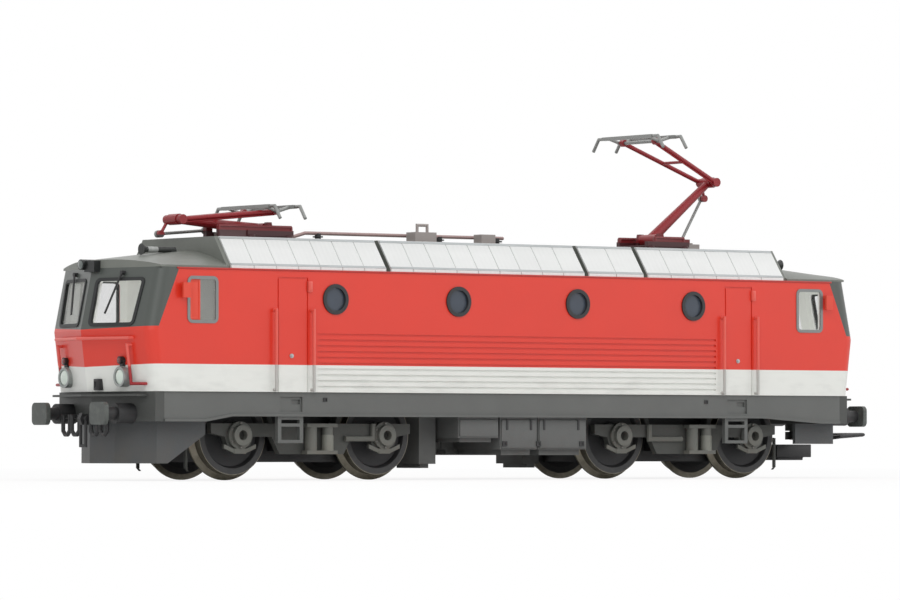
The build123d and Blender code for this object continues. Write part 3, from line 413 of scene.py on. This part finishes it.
def addSheet(name, middle, turn, size):
    bpy.ops.object.select_all(action="DESELECT")
    place = [c * mm for c in middle]
    bpy.ops.mesh.primitive_plane_add(size=1, location=place, rotation=turn)
    bpy.context.object.scale = (size[0] * mm, size[1] * mm, 1)
    return named(name)


def edit(piece, rule, *steps):
    # selects the faces that the rule takes, by centre in millimetres and normal, then works on them
    pickOnly(piece)
    bpy.context.tool_settings.mesh_select_mode = (False, False, True)
    for item in list(piece.data.vertices) + list(piece.data.edges):
        item.select = False
    for face in piece.data.polygons:
        face.select = rule(face.center / mm, face.normal)
    bpy.ops.object.mode_set(mode="EDIT")
    for step, settings in steps:
        step(**settings)
    bpy.ops.object.mode_set(mode="OBJECT")
    return piece


def everyFace(centre, normal):
    return True


def facing(axis):
    way = Vector(axis).normalized()
    return lambda centre, normal: normal.dot(way) > 0.9


def inset(by):
    return bpy.ops.mesh.inset, {"thickness": by * mm}


def pull(*by):
    return bpy.ops.mesh.extrude_region_move, {"TRANSFORM_OT_translate": {"value": [c * mm for c in by]}}


def shift(*by):
    return bpy.ops.transform.translate, {"value": [c * mm for c in by]}


def roundCorners(by):
    return bpy.ops.mesh.bevel, {"offset": by * mm, "segments": 5, "affect": "VERTICES"}


def faceOut(piece):
    return edit(piece, everyFace, (bpy.ops.mesh.normals_make_consistent, {"inside": False}))


def soften(piece, width, segments=2):
    pickOnly(piece)
    bevel = piece.modifiers.new("soften", "BEVEL")
    bevel.width = width * mm
    bevel.segments = segments
    bevel.limit_method = "ANGLE"
    bpy.ops.object.modifier_apply(modifier=bevel.name)
    return piece


def copyOf(piece, move=(0, 0, 0), flip=(1, 1, 1)):
    pickOnly(piece)
    bpy.ops.object.duplicate()
    twin = bpy.context.object
    twin.location = [c * mm for c in move]
    twin.scale = flip
    applyPlace()
    return faceOut(twin) if flip[0] * flip[1] * flip[2] < 0 else twin


def withTurned(piece):
    # the piece and a copy turned half round about the upright axis
    return [piece, copyOf(piece, flip=(-1, -1, 1))]


def bothEnds(piece):
    return [piece, copyOf(piece, flip=(-1, 1, 1))]


def bothSides(piece):
    return [piece, copyOf(piece, flip=(1, -1, 1))]


def fourCorners(piece):
    return [twin for end in bothEnds(piece) for twin in bothSides(end)]


def joined(name, pieces):
    pickOnly(*pieces)
    if len(pieces) > 1:
        bpy.ops.object.join()
    whole = bpy.context.object
    whole.name = name
    return whole


def settle(piece, body, finish):
    pickOnly(piece)
    bpy.ops.object.shade_smooth_by_angle(angle=math.radians(35))
    piece.data.materials.clear()
    piece.data.materials.append(finishes[finish].material)
    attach(piece, body)


def ringFrom(piece, corner, width, pullBy):
    # turns a flat sheet into a frame with round corners
    edit(piece, everyFace, roundCorners(corner))
    edit(piece, everyFace, inset(width), (bpy.ops.mesh.delete, {"type": "FACE"}))
    edit(piece, everyFace, pull(*pullBy))
    return faceOut(piece)


grip = 0.1  # how deep a fitting reaches into what it sits on, in millimetres

screenSeal = {
    "y0": -13.4, "y1": -2.0, "z0": 29.1, "z1": 37.5, "lean": 0.9, "over": 0.35,
    "w": 0.65, "corner": 1.1, "out": 0.2,
}


def makeScreenSeals():
    d = screenSeal
    width = d["y1"] - d["y0"] + 2 * d["over"]
    height = d["z1"] - d["z0"] + 2 * d["over"]
    middle = (0, (d["y0"] + d["y1"]) / 2, (d["z0"] + d["z1"]) / 2)
    seal = addSheet("screenSeal", middle, (0, -math.pi / 2, 0), (height, width))
    ringFrom(seal, d["corner"], d["w"], (-d["out"] - grip, 0, 0))
    # the outer edge leans in towards its foot, and the whole frame lies on the slanted nose
    for vert in seal.data.vertices:
        if vert.co.y < middle[1] * mm:
            vert.co.y += d["lean"] * mm * (d["z1"] * mm - vert.co.z) / (height * mm)
        vert.co.x += (grip - noseLine(vert.co.y / mm, vert.co.z / mm)) * mm
    settle(joined("screenSeals", fourCorners(seal)), "body", "seal")


sideFrame = {
    "x0": -76.6, "x1": -70.3, "z0": 29.6, "z1": 37.8, "over": 0.3,
    "w": 0.6, "corner": 1.1, "y": -16.9, "out": 0.25,
}


def makeSideFrames():
    d = sideFrame
    middle = ((d["x0"] + d["x1"]) / 2, d["y"], (d["z0"] + d["z1"]) / 2)
    size = (d["x1"] - d["x0"] + 2 * d["over"], d["z1"] - d["z0"] + 2 * d["over"])
    ring = addSheet("sideFrame", middle, (math.pi / 2, 0, 0), size)
    ringFrom(ring, d["corner"], d["w"], (0, -d["out"], 0))
    settle(joined("sideFrames", fourCorners(ring)), "body", "frameGrey")


mirrorDoor = {
    "x0": -76.3, "x1": -73.9, "y": -16.6, "out": 0.3, "z0": 29.9, "z1": 37.5,
    "edge": 0.35, "recess": 0.12, "swell": 0.06, "bevel": 0.04,
}


def makeMirrorDoor():
    # the front half of the left cab window is closed by the open mirror's door
    d = mirrorDoor
    low, high = (d["x0"], d["y"] - d["out"], d["z0"]), (d["x1"], d["y"], d["z1"])
    door = addBlock("mirrorDoor", low, high)
    sink = inset(d["edge"]), pull(0, d["recess"], 0)
    edit(door, facing(left), *sink, inset(d["edge"]), shift(0, -d["swell"], 0))
    settle(soften(door, d["bevel"]), "body", "mirror")


lampGlass = {"x": -86.72, "y": -9.6, "z": 19.3, "r": 1.42, "deep": 0.3, "dome": 0.35}
tailGlass = {"x": -87.15, "y": -9.6, "z": 22.4, "r": 0.5, "deep": 0.12, "dome": 0.15}
topGlass = {"x": -88.35, "y": 1.8, "z": 40.4, "r": 0.8, "deep": 0.12, "dome": 0.18}
domeRing = 0.3
domeSteps = (0.6, 0.3, 0.1)


def makeLens(d, name):
    # a drum whose face rises in rings to a dome
    lens = addDrum(name, (d["x"], d["y"], d["z"]), ahead, d["r"], d["deep"])
    rings = []
    for part in domeSteps:
        rings += [inset(d["r"] * domeRing), shift(-d["dome"] * part, 0, 0)]
    return edit(lens, facing(ahead), *rings)


def makeLamps():
    lamps = fourCorners(makeLens(lampGlass, "lampLens"))
    settle(joined("lampLenses", lamps), "body", "lens")
    tails = fourCorners(makeLens(tailGlass, "tailLens"))
    settle(joined("tailLenses", tails), "body", "tailLens")
    tops = bothEnds(makeLens(topGlass, "topLens"))
    settle(joined("topLenses", tops), "body", "darkLens")


socket = {
    "y": -3.2, "z": 17.9, "w": 1.7, "h": 2.1, "out": 0.8, "deep": 0.6,
    "rim": 0.3, "lip": 0.15, "mouth": 0.2, "mouthDeep": 0.25, "bevel": 0.1,
}


def makeSockets():
    d = socket
    x = -noseLine(d["y"], d["z"])
    low = (x - d["out"], d["y"] - d["w"] / 2, d["z"] - d["h"] / 2)
    high = (x + d["deep"], d["y"] + d["w"] / 2, d["z"] + d["h"] / 2)
    box = addBlock("endSocket", low, high)
    lip = inset(d["rim"]), pull(-d["lip"], 0, 0)
    edit(box, facing(ahead), *lip, inset(d["mouth"]), pull(d["mouthDeep"], 0, 0))
    soften(box, d["bevel"])
    settle(joined("endSockets", withTurned(box)), "body", "black")


doorLamp = {
    "x": (-49.3, 58.7), "y": -17.0, "z": 36.5, "halfW": 0.45, "halfH": 1.0, "out": 0.5,
    "rim": 0.2, "lip": 0.15, "bevel": 0.06,
}
doorKnob = {
    "x": (-53.4, 54.8), "y": -17.0, "z": 23.4, "r": 0.42, "deep": 0.3,
    "neck": 0.15, "out": 0.2, "edge": 0.1, "swell": 0.06,
}


def makeDoorFittings():
    d = doorLamp
    lamps = []
    for x in d["x"]:
        low = (x - d["halfW"], d["y"] - d["out"], d["z"] - d["halfH"])
        box = addBlock("doorLamp", low, (x + d["halfW"], d["y"] + grip, d["z"] + d["halfH"]))
        edit(box, facing(left), inset(d["rim"]), pull(0, -d["lip"], 0))
        lamps += bothSides(soften(box, d["bevel"]))
    d = doorKnob
    knobs = []
    for x in d["x"]:
        knob = addDrum("doorKnob", (x, d["y"] + grip, d["z"]), left, d["r"], d["deep"], 20)
        steps = inset(d["neck"]), pull(0, -d["out"], 0), inset(d["edge"]), shift(0, -d["swell"], 0)
        knobs += bothSides(edit(knob, facing(left), *steps))
    # the door lamps share the rails' lightened red, a painted highlight
    settle(joined("doorLamps", lamps), "body", "railBodyHighlit")
    settle(joined("doorKnobs", knobs), "body", "trim")


jackPlate = {
    "x": (-45.4, 47.0), "y": -16.6, "z": 15.2, "w": 0.9, "h": 0.75, "out": 0.15,
    "rim": 0.15, "recess": 0.12,
}


def makeJackPlates():
    d = jackPlate
    plates = []
    for x in d["x"]:
        low = (x - d["w"] / 2, d["y"] - d["out"], d["z"] - d["h"] / 2)
        plate = addBlock("jackPlate", low, (x + d["w"] / 2, d["y"] + grip, d["z"] + d["h"] / 2))
        plates += bothSides(edit(plate, facing(left), inset(d["rim"]), pull(0, d["recess"], 0)))
    settle(joined("jackPlates", plates), "body", "black")


gutterBead = {"x": 79.2, "y": -17.0, "z": 39.35, "h": 0.35, "out": 0.22, "bevel": 0.1}


def makeGutters():
    d = gutterBead
    low, high = (-d["x"], d["y"] - d["out"], d["z"]), (d["x"], d["y"] + grip, d["z"] + d["h"])
    bead = soften(addBlock("gutter", low, high), d["bevel"], 3)
    settle(joined("gutters", bothSides(bead)), "body", "gutter")


panelTrim = {
    "spans": ((-66.85, -31.3), (-30.1, 16.4), (17.6, 31.1), (32.3, 66.85)),
    "foot": (-16.8, 40.2), "top": (-12.6, 45.8), "low": 0.3, "high": 0.35,
    "w": 0.5, "thick": 0.22, "rise": 0.1, "bevel": 0.06,
}


def makePanelTrims():
    # a bar along the lower and the upper edge of each slanted panel
    d = panelTrim
    foot, top = Vector(d["foot"]), Vector(d["top"])
    along = (top - foot).normalized()
    out = Vector((-along.y, along.x))
    tilt = math.atan2(along.y, along.x) - math.pi / 2
    deep, wide = d["thick"] / 2, d["w"] / 2
    bars = []
    for x0, x1 in d["spans"]:
        for spot in (foot + along * d["low"], top - along * d["high"]):
            place = spot + out * (d["rise"] - deep)
            bar = soften(addBlock("panelTrim", (x0, -deep, -wide), (x1, deep, wide)), d["bevel"])
            bar.rotation_euler.x = tilt
            bar.location = (0, place.x * mm, place.y * mm)
            pickOnly(bar)
            applyPlace()
            bars += bothSides(bar)
    settle(joined("panelTrims", bars), "body", "trim")


baseCheek = {
    "rear": 46.0, "front": -49.3, "rows": ((-4.65, -2.7, 4.9), (4.65, -4.4, 12.6)),
    "half": 0.43, "z0": 45.8, "z1": 48.1, "edge": 0.12, "slope": 0.35, "rib": 0.4, "sunk": 0.2, "bevel": 0.05,
}


def makeBaseCheeks():
    # moulded cheeks on the pantograph's base, the longer one on the rod's side
    d = baseCheek
    cheeks = []
    for turn, pivot in ((1, d["rear"]), (-1, d["front"])):
        for y, x0, x1 in d["rows"]:
            x0, x1 = sorted((pivot + turn * x0, pivot + turn * x1))
            low, high = (x0, turn * y - d["half"], d["z0"]), (x1, turn * y + d["half"], d["z1"])
            cheek = addBlock("baseCheek", low, high)
            edit(cheek, facing(up), inset(d["edge"]), shift(0, 0, d["slope"]))
            for side in (-1, 1):
                edit(cheek, facing((0, side, 0)), inset(d["rib"]), pull(0, -side * d["sunk"], 0))
            cheeks.append(soften(cheek, d["bevel"]))
    settle(joined("baseCheeks", cheeks), "body", "baseRed")


couplerPocket = {
    "x0": 75.5, "x1": 84.6, "half": 4.2, "z0": 4.2, "z1": 6.8, "footRim": 1.2, "foot": 0.6,
    "mouthRim": 0.6, "mouth": 0.4, "neckX": 80, "neckRim": 2.0, "neck": 4.3, "bevel": 0.12,
}


def pocketTop(centre, normal):
    return normal.z > 0.9 and centre.x < couplerPocket["neckX"]


def makeCouplerPocket():
    d = couplerPocket
    low, high = (d["x0"], -d["half"], d["z0"]), (d["x1"], d["half"], d["z1"])
    pocket = addBlock("couplerPocket", low, high)
    edit(pocket, facing(down), inset(d["footRim"]), pull(0, 0, -d["foot"]))
    edit(pocket, facing((1, 0, 0)), inset(d["mouthRim"]), pull(-d["mouth"], 0, 0))
    edit(pocket, pocketTop, inset(d["neckRim"]), pull(0, 0, d["neck"]))
    settle(soften(pocket, d["bevel"]), "body", "black")


boxLid = {
    "spans": ((-13.1, -3.5, 8.0), (-3.1, 5.9, 5.8), (6.1, 17.96, 5.8)), "y": -15.2, "top": 11.6,
    "edge": 0.25, "out": 0.25, "rim": 0.3, "swell": 0.08, "bevel": 0.08,
}
boxStrap = {
    "x": (-1.6, 4.2, 7.4, 15.8), "w": 0.45, "z": 9.6, "out": 0.2, "edge": 0.1, "back": 0.1, "tip": 0.3,
}
boxClamp = {
    "x": (-2.2, 6.0, 16.6), "w": 1.1, "z": 6.4, "h": 1.0, "out": 0.25, "rim": 0.25, "recess": 0.12,
}


def makeBoxLids():
    # lids, straps and clamps on the left, and all of them turned half round on the right
    d = boxLid
    face = d["y"] - d["out"]
    lids = []
    for x0, x1, z0 in d["spans"]:
        low, high = (x0 + d["edge"], face, z0 + d["edge"]), (x1 - d["edge"], d["y"] + grip, d["top"])
        lid = addBlock("boxLid", low, high)
        edit(lid, facing(left), inset(d["rim"]), shift(0, -d["swell"], 0))
        lids.append(soften(lid, d["bevel"]))
    straps = []
    s = boxStrap
    for x in s["x"]:
        low = (x - s["w"] / 2, face - s["out"], s["z"])
        strap = addBlock("boxStrap", low, (x + s["w"] / 2, face + grip, d["top"]))
        straps.append(edit(strap, facing(down), inset(s["edge"]), pull(0, s["back"], -s["tip"])))
    c = boxClamp
    for x in c["x"]:
        low = (x - c["w"] / 2, face - c["out"], c["z"])
        clamp = addBlock("boxClamp", low, (x + c["w"] / 2, face + grip, c["z"] + c["h"]))
        straps.append(edit(clamp, facing(left), inset(c["rim"]), pull(0, c["recess"], 0)))
    for name, pieces, finish in (("boxLids", lids, "boxes"), ("boxStraps", straps, "black")):
        settle(joined(name, withTurned(joined(name, pieces))), "body", finish)


axleBolt = {"ring": 2.27, "y": -12.78, "r": 0.27, "deep": 0.3, "count": 6, "edge": 0.07, "swell": 0.07}


def makeAxleBolts(middleX, name, body):
    d = axleBolt
    bolt = addDrum("axleBolt", (0, d["y"] + grip, 0), left, d["r"], d["deep"], 6)
    edit(bolt, facing(left), inset(d["edge"]), shift(0, -d["swell"], 0))
    bolts = []
    for axle in (-1, 1):
        for n in range(d["count"]):
            a = 2 * math.pi * (n + 0.5) / d["count"]
            x = middleX + axle * bogie["half"] + d["ring"] * math.cos(a)
            bolts += bothSides(copyOf(bolt, (x, 0, bogie["axleZ"] + d["ring"] * math.sin(a))))
    bpy.data.objects.remove(bolt)
    settle(joined(name, bolts), body, "steel")


brakeShoe = {"r": 9.25, "thick": 1.0, "y": -8.55, "w": 2.3, "sweep": 46.0, "steps": 10, "bevel": 0.1}


def makeBrakeShoes(middleX, name, body):
    # one curved shoe per wheel on the pivot's side, swept about the axle
    d = brakeShoe
    shoes = []
    for axle in (-1, 1):
        x, z = middleX + axle * bogie["half"], bogie["axleZ"]
        shoe = addSheet("brakeShoe", (x - axle * d["r"], d["y"], z), (0, 0, 0), (d["thick"], d["w"]))
        sweep = {"steps": d["steps"], "angle": math.radians(d["sweep"]), "axis": (0, -axle, 0)}
        edit(shoe, everyFace, (bpy.ops.mesh.spin, {"center": (x * mm, 0, z * mm), **sweep}))
        bpy.context.tool_settings.mesh_select_mode = (True, False, False)
        bpy.ops.object.mode_set(mode="EDIT")
        bpy.ops.mesh.select_all(action="SELECT")
        bpy.ops.mesh.remove_doubles(threshold=0.01 * mm)
        bpy.ops.mesh.select_all(action="DESELECT")
        bpy.ops.mesh.select_non_manifold()
        bpy.ops.mesh.edge_face_add()
        bpy.ops.object.mode_set(mode="OBJECT")
        shoes += bothSides(soften(faceOut(shoe), d["bevel"]))
    settle(joined(name, shoes), body, "bogie")


keeper = {
    "half": 1.3, "y": (-12.75, -11.7), "z": (5.0, 6.0), "edge": 0.1, "arm": 2.3, "rise": 0.9, "bevel": 0.04,
}


def makeKeepers(middleX, name, body):
    # a keeper under each axle box, with an arm that rises to either side
    d = keeper
    keepers = []
    for axle in (-1, 1):
        x = middleX + axle * bogie["half"]
        low, high = (x - d["half"], d["y"][0], d["z"][0]), (x + d["half"], d["y"][1], d["z"][1])
        piece = addBlock("axleKeeper", low, high)
        for side in (-1, 1):
            edit(piece, facing((side, 0, 0)), inset(d["edge"]), pull(side * d["arm"], 0, d["rise"]))
        keepers += bothSides(soften(piece, d["bevel"]))
    settle(joined(name, keepers), body, "bogie")


damper = {"spots": ((3.0, -13.16), (-4.4, 13.16)), "r": 1.14, "z0": 5.5, "z1": 8.4, "edge": 0.12, "cap": 0.25}


def makeDampers(middleX, turn, name, body):
    # a bright sleeve on one column of each side frame
    d = damper
    sleeves = []
    for x, y in d["spots"]:
        start = (middleX + turn * x, turn * y, d["z0"])
        sleeve = addDrum("damper", start, up, d["r"], d["z1"] - d["z0"], 24)
        sleeves.append(edit(sleeve, facing(up), inset(d["edge"]), shift(0, 0, d["cap"])))
    settle(joined(name, sleeves), body, "damper")


sandPipe = {
    "root": (21.0, -6.0, 8.4), "out": 26.0, "y": -8.2, "dip": 0.6, "foot": 1.9, "r": 0.35,
    "edge": 0.1, "tip": 0.5,
}


def makeSandPipes(middleX, end, name, body):
    # a pipe that slants out past the outer wheel, then drops and bends back towards it at its foot
    d = sandPipe
    rootX, y, z = d["root"]
    way = Vector((end * (d["out"] - rootX), d["y"] - y, -d["dip"]))
    pipe = addDrum("sandPipe", (middleX + end * rootX, y, z), way, d["r"], way.length, 12)
    top = (middleX + end * d["out"], d["y"], z - d["dip"] / 2)
    drop = addDrum("sandDrop", top, down, d["r"], z - d["dip"] - d["foot"], 12)
    edit(drop, facing(down), inset(d["edge"]), pull(-end * d["tip"], 0, -d["tip"]))
    settle(joined(name, bothSides(joined(name, [pipe, drop]))), body, "bogie")


wheelDisc = {
    "r": 5.85, "y": -8.95, "deep": 0.2, "rim": 0.5, "dish": 0.12, "web": 2.2, "swell": 0.2,
    "hubEdge": 0.35, "hub": 0.55, "boreEdge": 0.65, "bore": 0.2, "bevel": 0.05,
}


def makeWheelDiscs(number, x):
    # a dished disc with a hub, on both wheels of an axle
    d = wheelDisc
    disc = addDrum("wheelDisc", (x, d["y"], bogie["axleZ"]), left, d["r"], d["deep"], 48)
    dish = inset(d["rim"]), shift(0, d["dish"], 0), inset(d["web"]), shift(0, -d["swell"], 0)
    hub = inset(d["hubEdge"]), pull(0, -d["hub"], 0), inset(d["boreEdge"]), pull(0, d["bore"], 0)
    soften(edit(disc, facing(left), *dish, *hub), d["bevel"])
    discs = joined(f"wheelDiscs{number}", bothSides(disc))
    settle(discs, f"wheelset_{number}", f"wheel{number}")


makeScreenSeals()
makeSideFrames()
makeMirrorDoor()
makeLamps()
makeSockets()
makeDoorFittings()
makeJackPlates()
makeGutters()
makePanelTrims()
makeBaseCheeks()
makeCouplerPocket()
print("body fittings made")
makeBoxLids()
for end, body in ((-1, "bogie_front"), (1, "bogie_rear")):
    middleX = end * bogie["pivotX"]
    makeAxleBolts(middleX, f"axleBolts_{body}", body)
    makeBrakeShoes(middleX, f"brakeShoes_{body}", body)
    makeKeepers(middleX, f"axleKeepers_{body}", body)
    makeDampers(middleX, -end, f"dampers_{body}", body)
    makeSandPipes(middleX, end, f"sandPipes_{body}", body)
for number, x in enumerate(axleX, 1):
    makeWheelDiscs(number, x)
print("running gear fittings made")

# the clear distance in millimetres, the rest in metres, and each light's power last, in watts
studio = {
    "floor": 6.0, "glow": 0.8, "clear": 420.0, "world": 0.5, "aim": (0, 0, 0.03),
    "lights": (
        ("keySoft", (-0.55, -0.75, 0.75), 0.8, 5.4),
        ("fillSoft", (0.7, -0.6, 0.5), 0.9, 2.4),
        ("topSoft", (0.1, 0.5, 0.9), 0.9, 2.4),
    ),
}


def addFloor():
    # what the camera sees of the floor is mostly a white glow, and only that beyond the clear distance
    bpy.ops.mesh.primitive_plane_add(size=studio["floor"], location=(0, 0, 0))
    floor = bpy.context.object
    floor.name = "floor"
    f = Finish("floorWhite", Roughness=0.9)
    f.feed(Base_Color=f.noise(40.0).mixed(rgb(246, 246, 246), rgb(250, 250, 250)))
    tree = f.material.node_tree
    seen = tree.nodes.new("ShaderNodeLightPath")
    glow = tree.nodes.new("ShaderNodeEmission")
    blend = tree.nodes.new("ShaderNodeMixShader")
    tree.links.new(f.shader.outputs[0], blend.inputs[1])
    tree.links.new(glow.outputs[0], blend.inputs[2])
    away = f.sock.maths("SQRT", f.x.squared() + f.y.squared()).above(studio["clear"], studio["clear"])
    direct = Sock(tree, seen.outputs["Is Camera Ray"]) * (away * (1 - studio["glow"]) + studio["glow"])
    tree.links.new(direct.out, blend.inputs[0])
    tree.links.new(blend.outputs[0], tree.nodes["Material Output"].inputs[0])
    floor.data.materials.append(f.material)


def addLight(name, place, size, power):
    bpy.ops.object.light_add(type="AREA", location=place)
    lamp = bpy.context.object
    lamp.name = name
    lamp.data.size = size
    lamp.data.energy = power
    lamp.rotation_euler = (Vector(studio["aim"]) - Vector(place)).to_track_quat("-Z", "Y").to_euler()


def addWorld():
    # white where it is seen, mirrored or looked at through glass, and dimmer as a light
    world = bpy.data.worlds.new("studio")
    bpy.context.scene.world = world
    world.use_nodes = True
    tree = world.node_tree
    back = tree.nodes["Background"]
    path = tree.nodes.new("ShaderNodeLightPath")
    rays = ("Is Camera Ray", "Is Glossy Ray", "Is Transmission Ray")
    seen, mirrored, through = (Sock(tree, path.outputs[key]) for key in rays)
    direct = seen.maths("MAXIMUM", seen, seen.maths("MAXIMUM", mirrored, through))
    level = direct * (1 - studio["world"]) + studio["world"]
    back.inputs["Color"].default_value = (1, 1, 1, 1)
    tree.links.new(level.out, back.inputs["Strength"])


# angles in degrees, lengths in millimetres, focal and wide in pixels
view = {
    "turn": -36.25, "lift": -1.516, "away": 1094.69, "aim": (-3.935, 0.0, 35.06),
    "focal": 5587.9, "wide": 900, "sensor": 36, "near": 10,
}


def addCamera():
    a, e = math.radians(view["turn"]), math.radians(view["lift"])
    back = Vector((math.sin(a) * math.cos(e), -math.cos(a) * math.cos(e), math.sin(e)))
    place = (Vector(view["aim"]) + back * view["away"]) * mm
    bpy.ops.object.camera_add(location=place, rotation=back.to_track_quat("Z", "Y").to_euler())
    camera = bpy.context.object
    camera.data.sensor_width = view["sensor"]
    camera.data.lens = view["focal"] / view["wide"] * view["sensor"]
    camera.data.clip_start = view["near"] * mm
    bpy.context.scene.camera = camera


addFloor()
for light in studio["lights"]:
    addLight(*light)
addWorld()
addCamera()
bpy.context.scene.view_settings.view_transform = "Standard"
print("studio ready")
